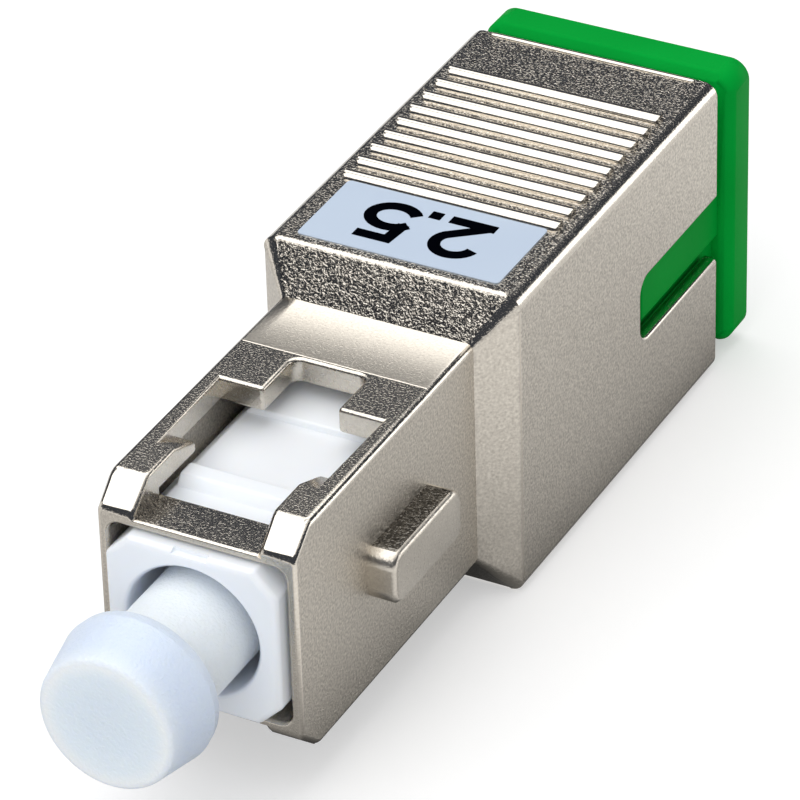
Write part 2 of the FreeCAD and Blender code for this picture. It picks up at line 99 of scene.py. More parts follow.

# The plastics: patches of shade and how far the gloss wanders; the cap's frosted grain and its depth, and the
# distances from the axis between which its painted light and shade change.
DRIFT_MM, GLOSS_DRIFT = 6.0, 0.06
FROST_MM, FROST_DEPTH = 0.12, 0.040 * MM
CAP_PAINTED_SHADE_RADII = (0.8 * MM, 2.6 * MM)

# The turned metals: the wave's own size that draws rings about 0.3 mm apart, and how far the gloss wanders.
RING_MM, RING_GLOSS = 0.9, 0.12

# The back right of the set, as an angle from +Y towards +X, and the angle over which the cards change.
BACK_RIGHT, CHANGE_OVER = math.radians(48.0), math.radians(40.0)

# The paper goes to plain white between these distances and is lifted by this much light before them. It lies
# just under the part, and the mat that mirrors see, with its painted shadow, just above that.
PAPER_FADE, PAPER_LIFT = (50 * MM, 160 * MM), 0.42
FLOOR_DROP, MAT_RISE = 0.02 * MM, 0.05 * MM

scene = bpy.context.scene
scene.view_settings.view_transform = "Standard"


def linear(code):
    """An sRGB hex colour as linear light: the standard curve, straight near black, a power of 2.4 above."""
    parts = np.array([int(code[i:i + 2], 16) for i in (1, 3, 5)]) / 255.0
    light = np.where(parts <= 0.04045, parts / 12.92, ((parts + 0.055) / 1.055) ** 2.4)
    return (*(float(v) for v in light), 1.0)


def per_metre(size_mm):
    """A pattern's scale for one repeat in size_mm millimetres, on coordinates in metres."""
    return 1.0 / (size_mm * MM)


def put(tree, kind, inputs=(), **settings):
    """Adds one node with its own settings; each input is a value, or another node's socket to link."""
    made = tree.nodes.new(kind)
    for name, value in settings.items():
        setattr(made, name, value)
    for key, value in dict(inputs).items():
        if isinstance(value, bpy.types.NodeSocket):
            tree.links.new(value, made.inputs[key])
        else:
            made.inputs[key].default_value = value
    return made


def start_material(name):
    """An empty material with an output node; gives the material, its tree and the output."""
    made = bpy.data.materials.new(name)
    made.use_nodes = True
    tree = made.node_tree
    tree.nodes.clear()
    return made, tree, put(tree, "ShaderNodeOutputMaterial")


def satin_nickel():
    """Nickel plate on a zinc die casting, tumbled: warm grey, a fine satin grain on the sides, a pebbled
    sparkle on the top faces and bevels, and bright polished edges. Each face's finish comes from its own
    attributes, and painted shade darkens the plate's colour on the key's top, the top bevel and the front
    face.
    The real grain is some hundredths of a millimetre; it is drawn at about a tenth, as coarse as it needs to
    show. On top of the nose, the relief holds the thin step line and the shallow hollow in front of the
    bevel."""
    made, tree, out = start_material("satin_nickel_on_die_cast_zinc")
    place = put(tree, "ShaderNodeTexCoord").outputs["Object"]
    pebble, grit, dull, mottle, painted_shade, pad = (
        put(tree, "ShaderNodeAttribute", attribute_name=name).outputs["Fac"] for name in (*FINISH, "pad"))
    coarse = put(tree, "ShaderNodeTexNoise", {
        "Vector": place, "Scale": per_metre(PEBBLE_MM), "Detail": 1.0, "Roughness": 0.5, "Distortion": 0.6})
    fine = put(tree, "ShaderNodeTexNoise", {
        "Vector": place, "Scale": per_metre(SPECK_MM), "Detail": 1.0, "Roughness": 0.5, "Distortion": 0.3})
    cloud = put(tree, "ShaderNodeTexNoise", {
        "Vector": place, "Scale": per_metre(CLOUD_MM), "Detail": 1.0, "Roughness": 0.5})

    # The shade wanders with the cloud, as far as the face's mottle lets it, and painted shade darkens it.
    around = put(tree, "ShaderNodeMath", {0: cloud.outputs["Fac"], 1: MID_SHADE}, operation="SUBTRACT")
    shade = put(tree, "ShaderNodeMath", {0: around.outputs[0], 1: mottle, 2: MID_SHADE},
                operation="MULTIPLY_ADD")
    colour = put(tree, "ShaderNodeValToRGB", {"Fac": shade.outputs[0]})
    colour.color_ramp.elements[0].position = 0.30
    colour.color_ramp.elements[0].color = linear("#B0A99F")
    colour.color_ramp.elements[1].position = 0.70
    colour.color_ramp.elements[1].color = linear("#DED7CB")
    after_painted_shade = put(tree, "ShaderNodeMapRange", {"Value": painted_shade, "To Min": 1.0, "To Max": FULL_PAINTED_SHADE})
    plate = put(tree, "ShaderNodeVectorMath", {0: colour.outputs["Color"], "Scale": after_painted_shade.outputs[0]},
                operation="SCALE")

    # The relief adds up pebbles, specks, the step line and the hollow, each as a share of RELIEF. The hollow
    # is the way along it, from 0 to 1, to the power of HOLLOW_BEND, times how far it has faded in across.
    grains = put(tree, "ShaderNodeMapRange", {
        "Value": coarse.outputs["Fac"], "From Min": 0.48, "From Max": 0.70}, interpolation_type="SMOOTHSTEP")
    specks = put(tree, "ShaderNodeMapRange", {
        "Value": fine.outputs["Fac"], "From Min": 0.52, "From Max": 0.72}, interpolation_type="SMOOTHSTEP")
    axes = put(tree, "ShaderNodeSeparateXYZ", {0: place})
    step = put(tree, "ShaderNodeMapRange", {
        "Value": axes.outputs["Y"], "From Min": STEP_LINE[0], "From Max": STEP_LINE[1]},
        interpolation_type="SMOOTHSTEP")
    raised = put(tree, "ShaderNodeMath", {0: step.outputs[0], 1: pad}, operation="MULTIPLY")
    back = put(tree, "ShaderNodeMapRange", {
        "Value": axes.outputs["Y"], "From Min": HOLLOW_ALONG[0], "From Max": HOLLOW_ALONG[1]})
    sweep = put(tree, "ShaderNodeMath", {0: back.outputs[0], 1: HOLLOW_BEND}, operation="POWER")
    fade = put(tree, "ShaderNodeMapRange", {
        "Value": axes.outputs["X"], "From Min": HOLLOW_ACROSS[0], "From Max": HOLLOW_ACROSS[1]},
        interpolation_type="SMOOTHSTEP")
    hollow = put(tree, "ShaderNodeMath", {0: sweep.outputs[0], 1: fade.outputs[0]}, operation="MULTIPLY")
    dish = put(tree, "ShaderNodeMath", {0: hollow.outputs[0], 1: pad}, operation="MULTIPLY")
    big = put(tree, "ShaderNodeMath", {0: grains.outputs[0], 1: pebble}, operation="MULTIPLY")
    both = put(tree, "ShaderNodeMath", {0: specks.outputs[0], 1: grit, 2: big.outputs[0]},
               operation="MULTIPLY_ADD")
    edge = put(tree, "ShaderNodeMath", {0: raised.outputs[0], 1: STEP_RISE, 2: both.outputs[0]},
               operation="MULTIPLY_ADD")
    height = put(tree, "ShaderNodeMath", {0: dish.outputs[0], 1: HOLLOW_DEPTH, 2: edge.outputs[0]},
                 operation="MULTIPLY_ADD")
    relief = put(tree, "ShaderNodeBump", {"Strength": 1.0, "Distance": RELIEF, "Height": height.outputs[0]})

    # The gloss is the face's own, softer behind the step line, and wanders a little with the specks.
    softer = put(tree, "ShaderNodeMath", {0: raised.outputs[0], 1: STEP_DULL, 2: dull},
                 operation="MULTIPLY_ADD")
    gloss = put(tree, "ShaderNodeMath", {0: fine.outputs["Fac"], 1: SPECK_GLOSS, 2: softer.outputs[0]},
                operation="MULTIPLY_ADD")
    shader = put(tree, "ShaderNodeBsdfPrincipled", {
        "Base Color": plate.outputs["Vector"], "Metallic": 1.0,
        "Roughness": gloss.outputs[0], "Normal": relief.outputs["Normal"]})
    tree.links.new(shader.outputs[0], out.inputs["Surface"])
    return made


def moulded(name, shade, deep, roughness, grain_mm, relief_mm, shine=0.5, soft=0.0, soft_mm=(1.0, 1.0, 1.0),
            ior=1.5):
    """A smooth even surface, such as a moulded plastic: two close shades drift over it in patches of
    DRIFT_MM, with a faint grain of grain_mm in its gloss and its relief. The real grain of a tool is far
    finer; it is drawn as coarse as it needs to show. soft is the share of light that goes soft_mm in."""
    made, tree, out = start_material(name)
    place = put(tree, "ShaderNodeTexCoord").outputs["Object"]
    drift = put(tree, "ShaderNodeTexNoise", {"Vector": place, "Scale": per_metre(DRIFT_MM), "Detail": 2.0})
    grain = put(tree, "ShaderNodeTexNoise", {"Vector": place, "Scale": per_metre(grain_mm), "Detail": 2.0})
    colour = put(tree, "ShaderNodeValToRGB", {"Fac": drift.outputs["Fac"]})
    colour.color_ramp.elements[0].position = 0.3
    colour.color_ramp.elements[0].color = linear(deep)
    colour.color_ramp.elements[1].position = 0.7
    colour.color_ramp.elements[1].color = linear(shade)
    gloss = put(tree, "ShaderNodeMath", {
        0: grain.outputs["Fac"], 1: GLOSS_DRIFT, 2: roughness - GLOSS_DRIFT / 2}, operation="MULTIPLY_ADD")
    relief = put(tree, "ShaderNodeBump", {
        "Strength": 1.0, "Distance": relief_mm * MM, "Height": grain.outputs["Fac"]})
    shader = put(tree, "ShaderNodeBsdfPrincipled", {
        "Base Color": colour.outputs["Color"], "Roughness": gloss.outputs[0], "IOR": ior,
        "Specular IOR Level": shine, "Normal": relief.outputs["Normal"], "Subsurface Weight": soft,
        "Subsurface Radius": soft_mm, "Subsurface Scale": MM})
    tree.links.new(shader.outputs[0], out.inputs["Surface"])
    return made


def frosted_cap():
    """Low density polythene, moulded in a frosted tool: a milky cool white with light that goes a little way
    in and a fine sparkle. Its shade by the distance from the axis is painted light and shade: greyer in the
    middle, over the hollow bore, a painted lighter ring near the rim and painted shade round the side. The
    frosting is drawn coarser than it is, so that it shows."""
    made, tree, out = start_material("frosted_moulded_ldpe")
    place = put(tree, "ShaderNodeTexCoord").outputs["Object"]
    across = put(tree, "ShaderNodeVectorMath", {0: place, 1: (1, 0, 1)}, operation="MULTIPLY")
    radius = put(tree, "ShaderNodeVectorMath", {0: across.outputs[0]}, operation="LENGTH")
    share = put(tree, "ShaderNodeMapRange", {
        "Value": radius.outputs["Value"], "From Min": CAP_PAINTED_SHADE_RADII[0], "From Max": CAP_PAINTED_SHADE_RADII[1]})
    grain = put(tree, "ShaderNodeTexNoise", {"Vector": place, "Scale": per_metre(FROST_MM), "Detail": 2.0})
    # Painted light and shade by the distance from the axis: greyer in the middle, lighter near the rim,
    # darker round the side.
    colour = put(tree, "ShaderNodeValToRGB", {"Fac": share.outputs[0]})
    for position, shade in ((0.55, "#E6F0FE"), (0.80, "#F0F6FF")):
        colour.color_ramp.elements.new(position).color = linear(shade)
    colour.color_ramp.elements[0].color = linear("#E0ECFE")
    colour.color_ramp.elements[-1].color = linear("#DAE5F8")
    relief = put(tree, "ShaderNodeBump", {
        "Strength": 1.0, "Distance": FROST_DEPTH, "Height": grain.outputs["Fac"]})
    shader = put(tree, "ShaderNodeBsdfPrincipled", {
        "Base Color": colour.outputs["Color"], "Roughness": 0.38, "IOR": 1.51, "Specular IOR Level": 0.4,
        "Normal": relief.outputs["Normal"], "Subsurface Weight": 0.5,
        "Subsurface Radius": (0.9, 1.0, 1.3), "Subsurface Scale": MM})
    tree.links.new(shader.outputs[0], out.inputs["Surface"])
    return made


def turned_metal(name, shade, roughness):
    """A turned or drawn metal: fine rings about the plug's axis in its gloss, drawn coarser than the tool's
    marks so that they show."""
    made, tree, out = start_material(name)
    place = put(tree, "ShaderNodeTexCoord").outputs["Object"]
    rings = put(tree, "ShaderNodeTexWave", {
        "Vector": place, "Scale": per_metre(RING_MM), "Distortion": 1.0}, bands_direction="Y")
    gloss = put(tree, "ShaderNodeMath", {0: rings.outputs["Fac"], 1: RING_GLOSS, 2: roughness},
                operation="MULTIPLY_ADD")
    shader = put(tree, "ShaderNodeBsdfPrincipled", {
        "Base Color": linear(shade), "Metallic": 1.0, "Roughness": gloss.outputs[0]})
    tree.links.new(shader.outputs[0], out.inputs["Surface"])
    return made


NICKEL = satin_nickel()
CAP = frosted_cap()
# PBT, moulded in a blasted tool: an even, strong green with hardly any shine.
GREEN = moulded("green_moulded_pbt", "#03A23A", "#029634", roughness=0.45, grain_mm=0.20, relief_mm=0.003,
                shine=0.02)
# PEI, moulded in a polished tool: a cool white with a soft shine, and edges that light goes into.
WHITE = moulded("white_moulded_pei", "#F4F8FE", "#EFF4FC", roughness=0.30, grain_mm=0.40, relief_mm=0.0006,
                shine=0.4, soft=0.25, soft_mm=(0.5, 0.6, 0.8))
# The same plastic from a plainer tool, inside the port: a duller ivory.
HOLDER = moulded("ivory_moulded_pei", "#E4E6E4", "#DADDDC", roughness=0.36, grain_mm=0.25, relief_mm=0.003)
# Coated film, printed and cut: a flat pale blue with a satin shine.
FILM = moulded("pale_blue_label_film", "#C0CEDF", "#BAC8DB", roughness=0.40, grain_mm=0.40, relief_mm=0.001,
               shine=0.3)
# Printed ink: a matt navy black.
INK = moulded("navy_black_ink", "#03040A", "#020307", roughness=0.60, grain_mm=0.10, relief_mm=0.001,
              shine=0.0)
# Zirconia, ground and polished: a bright warm white with a sharp shine.
CERAMIC = moulded("polished_zirconia", "#F1F1EE", "#EBEBE7", roughness=0.12, grain_mm=0.30, relief_mm=0.0005,
                  ior=2.15)
# Brass, turned and nickel plated: a warm bright metal with fine rings.
TURNED = turned_metal("nickel_plated_brass_turning", "#C4BDB0", roughness=0.22)
# Steel, drawn to wire and wound: a darker grey metal.
SPRING_STEEL = turned_metal("drawn_spring_steel_wire", "#8C8C8E", roughness=0.30)


def show(name, mesh, material, body, slot, *stands_for):
    """Puts a finished mesh in the scene as a piece that rides on a body and stands for CAD nodes."""
    piece = bpy.data.objects.new(name, mesh)
    scene.collection.objects.link(piece)
    mesh.materials.clear()
    mesh.materials.append(material)
    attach(piece, body)
    if stands_for:
        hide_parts(*stands_for)
    return piece


def room_beside(edge, face):
    """How far a face reaches from one of its edges, square to that edge."""
    away = face.normal.cross((edge.verts[1].co - edge.verts[0].co).normalized())
    return max(abs((corner.co - edge.verts[0].co).dot(away)) for corner in face.verts)


def rims_ear(edge):
    """Whether an edge runs round the slope at the front of an ear, the slope's top edge apart."""
    slopes = [f for f in edge.link_faces if f.normal.y < -0.5 and abs(f.normal.z) > 0.5
              and f.calc_center_median().y < EAR_DEPTH]
    return bool(slopes) and min(abs(corner.co.z) for corner in edge.verts) < EAR_TOP


def soft_edged(node, edge_mm, ear_mm=0.0, steps=3):
    """A node's triangles joined at their shared corners, each flat face made one, and each outer edge that
    turns by more than EDGE_TURN and has room on both sides rounded, those round the ears more widely."""
    mesh = bmesh.new()
    mesh.from_mesh(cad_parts[node].data)
    bmesh.ops.remove_doubles(mesh, verts=mesh.verts, dist=WELD)
    bmesh.ops.dissolve_limit(mesh, angle_limit=FLAT_TURN, verts=mesh.verts, edges=mesh.edges,
                             delimit={"NORMAL"})
    bmesh.ops.dissolve_degenerate(mesh, dist=SHORT_EDGE, edges=mesh.edges)
    for width, chosen in ((ear_mm, rims_ear), (edge_mm, bool)):
        sharp = [e for e in mesh.edges
                 if width and e.is_convex and e.calc_face_angle() > EDGE_TURN and chosen(e)
                 and min(room_beside(e, f) for f in e.link_faces) > EDGE_ROOM * width * MM]
        bmesh.ops.bevel(mesh, geom=sharp, offset=width * MM, offset_type="OFFSET", segments=steps,
                        profile=0.5, affect="EDGES", clamp_overlap=False)
    for edge in mesh.edges:
        edge.smooth = edge.calc_face_angle() < (CREASE_TURN if edge.is_convex else EDGE_TURN)
    for face in mesh.faces:
        face.smooth = True
    made = bpy.data.meshes.new(node + "_dressed")
    mesh.to_mesh(made)
    mesh.free()
    return made


def weigh_normals(piece):
    """Each corner's shading follows its largest face, so flats stay flat and only edges turn."""
    modifier = piece.modifiers.new("face_weighted", "WEIGHTED_NORMAL")
    modifier.mode = "FACE_AREA"
    modifier.weight = 100
    modifier.keep_sharp = True


def faces_of(mesh):
    """Centres in millimetres and normals of a mesh's faces."""
    count = len(mesh.polygons)
    centre = np.empty(count * 3)
    normal = np.empty(count * 3)
    mesh.polygons.foreach_get("center", centre)
    mesh.polygons.foreach_get("normal", normal)
    return centre.reshape(-1, 3) / MM, normal.reshape(-1, 3)


def finish_faces(mesh):
    """Marks each face of the shell with its finish, by where it lies in millimetres and how it is turned: the
    first place in the list that holds it. The values are those of FINISH, in its order: pebble and grit are
    relief as a share of RELIEF, dull is roughness, mottle is how far the shade wanders and the last is
    painted shade, how far the colour is darkened. The walls of the side slots are turned as the grip's top is
    and lie lower. pad is 1 on the nose's top."""
    (x, y, z), (nx, ny, nz) = (part.T for part in faces_of(mesh))
    high = np.abs(z)
    level, flat = np.abs(nz) > 0.97, np.max(np.abs([nx, ny, nz]), axis=0) > 0.98
    bevel = (y > 12.5) & (y < 13.9) & (ny < -0.5)
    top_bevel, side_bevel = bevel & (ny < -0.6) & (np.abs(nz) > 0.5), bevel & (np.abs(nx) > 0.5)
    ear_slope = (y < 1.4) & (ny < -0.5) & (np.abs(nz) > 0.5) & (high > 3.4)
    rib = (z > 6.06) & (y > 17.0)
    key_top, key_side = level & (x > 3.72) & (high < 1.2), (x > 3.72) & (y < 12.0)
    grip_top = level & (y > 13.2)
    nose_top = level & (y < 12.7) & (high > 4.3)
    front_bar = level & (y < 2.0)
    window_wall = (np.abs(x) < 3.3) & (high > 2.0) & (y > 0.5) & (y < 9.6)
    front_face = (ny < -0.98) & (y < 0.4)
    # The last value of each finish is painted shade on the plate's colour.
    places = [
        (top_bevel, (0.15, 0.03, 0.07, 1.0, 0.42)),
        (side_bevel, (0.0, 0.035, 0.30, 0.55, 0.0)),
        (ear_slope, (0.0, 0.0, 0.06, 0.0, 0.0)),
        (rib, (0.0, 0.005, 0.10, 0.1, 0.0)),
        (key_top, (0.10, 0.026, 0.05, 1.0, 1.0)),
        (grip_top & (high < 5.0), (0.0, 0.01, 0.16, 0.1, 0.0)),
        (grip_top, (0.01, 0.09, 0.14, 1.0, 0.0)),
        (nose_top, (0.0, 0.034, 0.15, 0.4, 0.0)),
        (front_bar, (0.0, 0.024, 0.12, 0.4, 0.0)),
        (window_wall, (0.0, 0.02, 0.22, 0.25, 0.0)),
        (key_side, (0.0, 0.03, 0.25, 0.3, 0.0)),
        (front_face, (0.0, 0.03, 0.22, 0.3, 0.15)),
        (flat, (0.0, 0.08, 0.33, 0.9, 0.0)),
    ]
    finish = {name: np.select([where for where, _ in places], [values[i] for _, values in places], rest)
              for i, (name, rest) in enumerate(FINISH.items())}
    for name, values in {**finish, "pad": nose_top}.items():
        mesh.attributes.new(name, "FLOAT", "FACE").data.foreach_set("value", values.astype(np.float32))


def grid_mesh(name, points, closed):
    """A rows-by-columns array of points in metres as a quad mesh, each row closed to a ring where asked."""
    rows, columns = points.shape[:2]
    index = np.arange(rows * columns).reshape(rows, columns)
    if closed:
        index = np.hstack([index, index[:, :1]])
    quads = np.stack([index[:-1, :-1], index[1:, :-1], index[1:, 1:], index[:-1, 1:]], axis=-1)
    made = bpy.data.meshes.new(name)
    made.from_pydata(points.reshape(-1, 3), [], quads.reshape(-1, 4))
    made.shade_smooth()
    return made


def arc(centre_y, centre_r, radius, start, stop, count):
    """Points (y, r) on a circle from start to stop degrees, 0 along +y and 90 along +r."""
    turn = np.radians(np.linspace(start, stop, count))
    return np.stack([centre_y + radius * np.cos(turn), centre_r + radius * np.sin(turn)], axis=1)


def run(first, last, count):
    """Points (y, r) spaced evenly along a straight line, its ends left out."""
    share = np.linspace(0, 1, count + 2)[1:-1, None]
    return np.asarray(first) * (1 - share) + np.asarray(last) * share


def turned(name, outline, around=128):
    """An outline (y, r) in millimetres turned round the y axis: x = r sin, z = r cos; poles where r is 0."""
    outline = np.asarray(outline)
    angle = np.linspace(0, 2 * np.pi, around, endpoint=False)
    points = np.stack([
        outline[:, 1:2] * np.sin(angle), np.broadcast_to(outline[:, :1], (len(outline), around)),
        outline[:, 1:2] * np.cos(angle)], axis=-1) * MM
    made = grid_mesh(name, points, True)
    tidy = bmesh.new()
    tidy.from_mesh(made)
    bmesh.ops.remove_doubles(tidy, verts=tidy.verts, dist=WELD)
    bmesh.ops.recalc_face_normals(tidy, faces=tidy.faces)
    tidy.to_mesh(made)
    tidy.free()
    made.shade_smooth()
    return made


def dust_cap_outline():
    """Half section of the cap: dished face, round rim, tapered side, round back rim, neck, blind bore."""
    front, back, neck_end, bore_end = -6.12, -3.62, 2.0, -5.2
    face_r, head_r, neck_r, bore_r = 2.475, 2.86, 2.025, 1.27
    rim, back_rim, lip, band = 0.20, 0.10, 0.08, 0.40
    dish_depth, rim_out, band_round, band_drop, root = 0.05, 0.02, 0.05, 0.06, 0.15
    slope = math.degrees(math.atan2(head_r - face_r, back - band - front))
    share = np.linspace(0, 1, 14)[:, None]
    dish = np.hstack([front + dish_depth * (1 - share ** 2), share * (face_r - rim)])
    parts = [
        dish[:-1],
        arc(front + rim, face_r - rim + rim_out, rim, 180, 90 + slope, 10),
        arc(back - band - band_round, head_r - band_round, band_round, 90 + slope, 70, 4),
        arc(back - back_rim, head_r - band_drop - back_rim, back_rim, 82, 0, 7),
        run((back, head_r - band_drop - back_rim), (back, neck_r + root), 3),
        arc(back + root, neck_r + root, root, 180, 270, 5),
        run((back + root, neck_r), (neck_end - lip, neck_r), 6),
        arc(neck_end - lip, neck_r - lip, lip, 90, 0, 4),
        arc(neck_end - lip, bore_r + lip, lip, 0, -90, 4),
        run((neck_end - lip, bore_r), (bore_end, bore_r), 8),
        [(bore_end, bore_r), (bore_end, bore_r * 0.5), (bore_end, 0.0)],
    ]
    return np.vstack(parts)


def swept(name, path, normal, side, section):
    """A closed section carried along a path: point = path + section u times side + section v times normal,
    with both ends closed."""
    points = (path[:, None, :] + section[None, :, :1] * side[:, None, :]
              + section[None, :, 1:] * normal[:, None, :])
    made = grid_mesh(name, points * MM, True)
    tidy = bmesh.new()
    tidy.from_mesh(made)
    ends = [e for e in tidy.edges if e.is_boundary]
    bmesh.ops.holes_fill(tidy, edges=ends, sides=0)
    bmesh.ops.recalc_face_normals(tidy, faces=tidy.faces)
    tidy.to_mesh(made)
    tidy.free()
    return made


def ferrule_spring():
    """Round wire on a helix: the centre runs round the axis at the coil's radius while y rises evenly."""
    turns, wire_r, coil_r, low, high = 3.5, 0.21, 1.91, 6.68, 9.71
    turn = np.linspace(0, 2 * np.pi * turns, 168)
    out = np.stack([np.sin(turn), np.zeros_like(turn), np.cos(turn)], axis=1)
    path = out * coil_r
    path[:, 1] = np.linspace(low, high, len(turn))
    along = np.gradient(path, axis=0)
    along /= np.linalg.norm(along, axis=1, keepdims=True)
    round_wire = np.linspace(0, 2 * np.pi, 14, endpoint=False)
    section = wire_r * np.stack([np.cos(round_wire), np.sin(round_wire)], axis=1)
    made = swept("spring_wire", path, np.cross(along, out), out, section)
    made.shade_smooth()
    return made


def flat_stroke(name, line, width, low, high):
    """A pen stroke: a rectangle of the pen's width carried along a flat line, with mitred corners. The side
    at a corner is the mean of its two runs' sides, lengthened by one over the cosine of half the turn."""
    steps = np.diff(line, axis=0)
    steps /= np.linalg.norm(steps, axis=1, keepdims=True)
    sides = np.stack([-steps[:, 1], steps[:, 0]], axis=1)
    mean = np.vstack([sides[:1], sides[:-1] + sides[1:], sides[-1:]])
    mean /= np.linalg.norm(mean, axis=1, keepdims=True)
    near = np.vstack([sides[:1], sides])
    mean /= np.sum(mean * near, axis=1, keepdims=True)
    path = np.column_stack([line, np.full(len(line), low)])
    side = np.column_stack([mean, np.zeros(len(line))])
    normal = np.tile([0.0, 0.0, 1.0], (len(line), 1))
    half = width / 2
    section = np.array([(-half, 0), (half, 0), (half, high - low), (-half, high - low)])
    return swept(name, path, normal, side, section)


def bow(centre, radii, start, stop, count):
    """Points on an ellipse from start to stop degrees."""
    turn = np.radians(np.linspace(start, stop, count))
    return np.stack([centre[0] + radii[0] * np.cos(turn), centre[1] + radii[1] * np.sin(turn)], axis=1)


def label_number():
    """A plain value, 2.5, in broad pen strokes, read from the rear: right is -x and up is -y. Each stroke is
    a hair thicker than the one before, so that no two tops lie in one plane."""
    tall, pen = 2.08, 0.45
    strokes = (
        ("two_bow", np.vstack([bow((0.80, 1.40), (0.74, 0.68), 168, -38, 22), [(0.12, 0.0)]]), 0.0),
        ("two_foot", np.array([(-0.08, 0.0), (1.66, 0.0)]), 0.0),
        ("point", np.array([(0.0, 0.225), (0.0, -0.225)]), 2.22),
        ("five_stem", np.array([(1.56, tall), (0.32, tall), (0.20, 1.02)]), 2.76),
        ("five_bowl", bow((0.78, 0.68), (0.84, 0.68), 150, -152, 26), 2.76),
    )
    origin = np.array([2.22, 17.22])
    low, high, layer = 6.1005, 6.1115, 0.0004
    for count, (name, line, shift) in enumerate(strokes):
        placed = origin - (line + (shift, 0.0))
        yield "label_ink_" + name, flat_stroke(name, placed, pen, low, high + count * layer)


def rear_lip():
    """A low bead across the rear of the grip's top: a flat-bottomed half oval carried from side to side. Its
    size is the root of one less the way out to a high power, so that it closes only near both ends."""
    reach, half, height, root, inset = 4.15, 0.12, 0.075, 0.02, 0.29
    power, least = 40, 0.02
    lowest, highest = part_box("outer_shell")
    grip_top, rear = -lowest[2] / MM, highest[1] / MM
    place = np.linspace(-1, 1, 61)
    size = np.sqrt(np.clip(1 - np.abs(place) ** power, least, 1))[:, None]
    section = np.vstack([bow((0, 0), (half, height), 0, 180, 13), [(-half, -root), (half, -root)]])
    path = np.stack([reach * place, np.full_like(place, rear - inset), np.full_like(place, grip_top)], axis=1)
    made = swept("rear_lip", path, size * (0, 0, 1), size * (0, 1, 0), section)
    made.shade_smooth()
    return made


shell_mesh = soft_edged("outer_shell", 0.14, 0.20)
finish_faces(shell_mesh)
lip_mesh = rear_lip()
finish_faces(lip_mesh)
show("rear_lip_bead", lip_mesh, NICKEL, "shell", "plated_shell")
weigh_normals(show("plated_shell_body", shell_mesh, NICKEL, "shell", "plated_shell", "outer_shell"))
weigh_normals(show("label_film_strip", soft_edged("value_label", 0.012), FILM, "shell", "label_film",
                   "value_label"))
for ink_name, ink_mesh in label_number():
    show(ink_name, ink_mesh, INK, "shell", "label_film")

# Each piece with the node it stands for, its edges' width in millimetres, its material, body and slot.
dressed = (
    ("plug_frame_moulding", "plug_frame", 0.10, WHITE, "core", "white_moulding"),
    ("rear_housing_moulding", "rear_housing", 0.10, GREEN, "core", "green_moulding"),
    ("sleeve_holder_moulding", "sleeve_holder", 0.05, HOLDER, "core", "holder_moulding"),
    ("seat_ring_turning", "seat_ring", 0.04, TURNED, "core", "plated_turning"),
    ("split_sleeve", "alignment_sleeve", 0.03, CERAMIC, "core", "zirconia"),
    ("ferrule_body", "ferrule", 0.03, CERAMIC, "ferrule_set", "zirconia"),
    ("collar_turning", "ferrule_collar", 0.05, TURNED, "ferrule_set", "plated_turning"),
)
for piece_name, node, edge_mm, material, body, slot in dressed:
    weigh_normals(show(piece_name, soft_edged(node, edge_mm), material, body, slot, node))

# The spring rides on the core, its rear end on its seat, with a mesh of its own.
spring = show("coil_spring", ferrule_spring(), SPRING_STEEL, "core", "spring_steel", "ferrule_spring")
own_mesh(spring)
show("dust_cap_moulding", turned("cap", dust_cap_outline()), CAP, "cap", "cap_moulding", "dust_cap")


def photo_camera():
    """The photograph's view: a long lens from in front, to the right and above, with a slight roll."""
    place = np.array([73.895, -121.756, 102.025]) * MM
    look = np.array([-0.39912, 0.73418, -0.54925])
    roll, focal_pixels, sensor = math.radians(-1.742), 5357.0, 36.0
    look /= np.linalg.norm(look)
    level = np.cross(look, (0, 0, 1))
    level /= np.linalg.norm(level)
    upright = np.cross(level, look)
    right = math.cos(roll) * level + math.sin(roll) * upright
    up = np.cross(right, look)
    data = bpy.data.cameras.new("photo_camera")
    data.sensor_width = sensor
    data.lens = focal_pixels / PHOTO_PIXELS * sensor
    data.clip_start, data.clip_end = 0.005, 20.0
    camera = bpy.data.objects.new("photo_camera", data)
    scene.collection.objects.link(camera)
    turn = np.eye(4)
    turn[:3, 0], turn[:3, 1], turn[:3, 2], turn[:3, 3] = right, up, -look, place
    camera.matrix_world = Matrix(turn.tolist())
    scene.camera = camera


def seen(tree):
    """1 for a ray from the camera, a mirror or through glass, and 0 for the light that surfaces gather."""
    path = put(tree, "ShaderNodeLightPath")
    mirror = put(tree, "ShaderNodeMath", {0: path.outputs["Is Camera Ray"], 1: path.outputs["Is Glossy Ray"]},
                 operation="MAXIMUM")
    return put(tree, "ShaderNodeMath", {0: mirror.outputs[0], 1: path.outputs["Is Transmission Ray"]},
               operation="MAXIMUM").outputs[0]


def studio_world(fill):
    """White where it is seen, and a low even fill for the light that surfaces gather."""
    world = bpy.data.worlds.new("white_studio")
    scene.world = world
    world.use_nodes = True
    tree = world.node_tree
    tree.nodes.clear()
    out = put(tree, "ShaderNodeOutputWorld")
    level = put(tree, "ShaderNodeMapRange", {"Value": seen(tree), "To Min": fill, "To Max": 1.0})
    sky = put(tree, "ShaderNodeBackground", {"Color": linear("#FFFFFF"), "Strength": level.outputs[0]})
    tree.links.new(sky.outputs[0], out.inputs["Surface"])


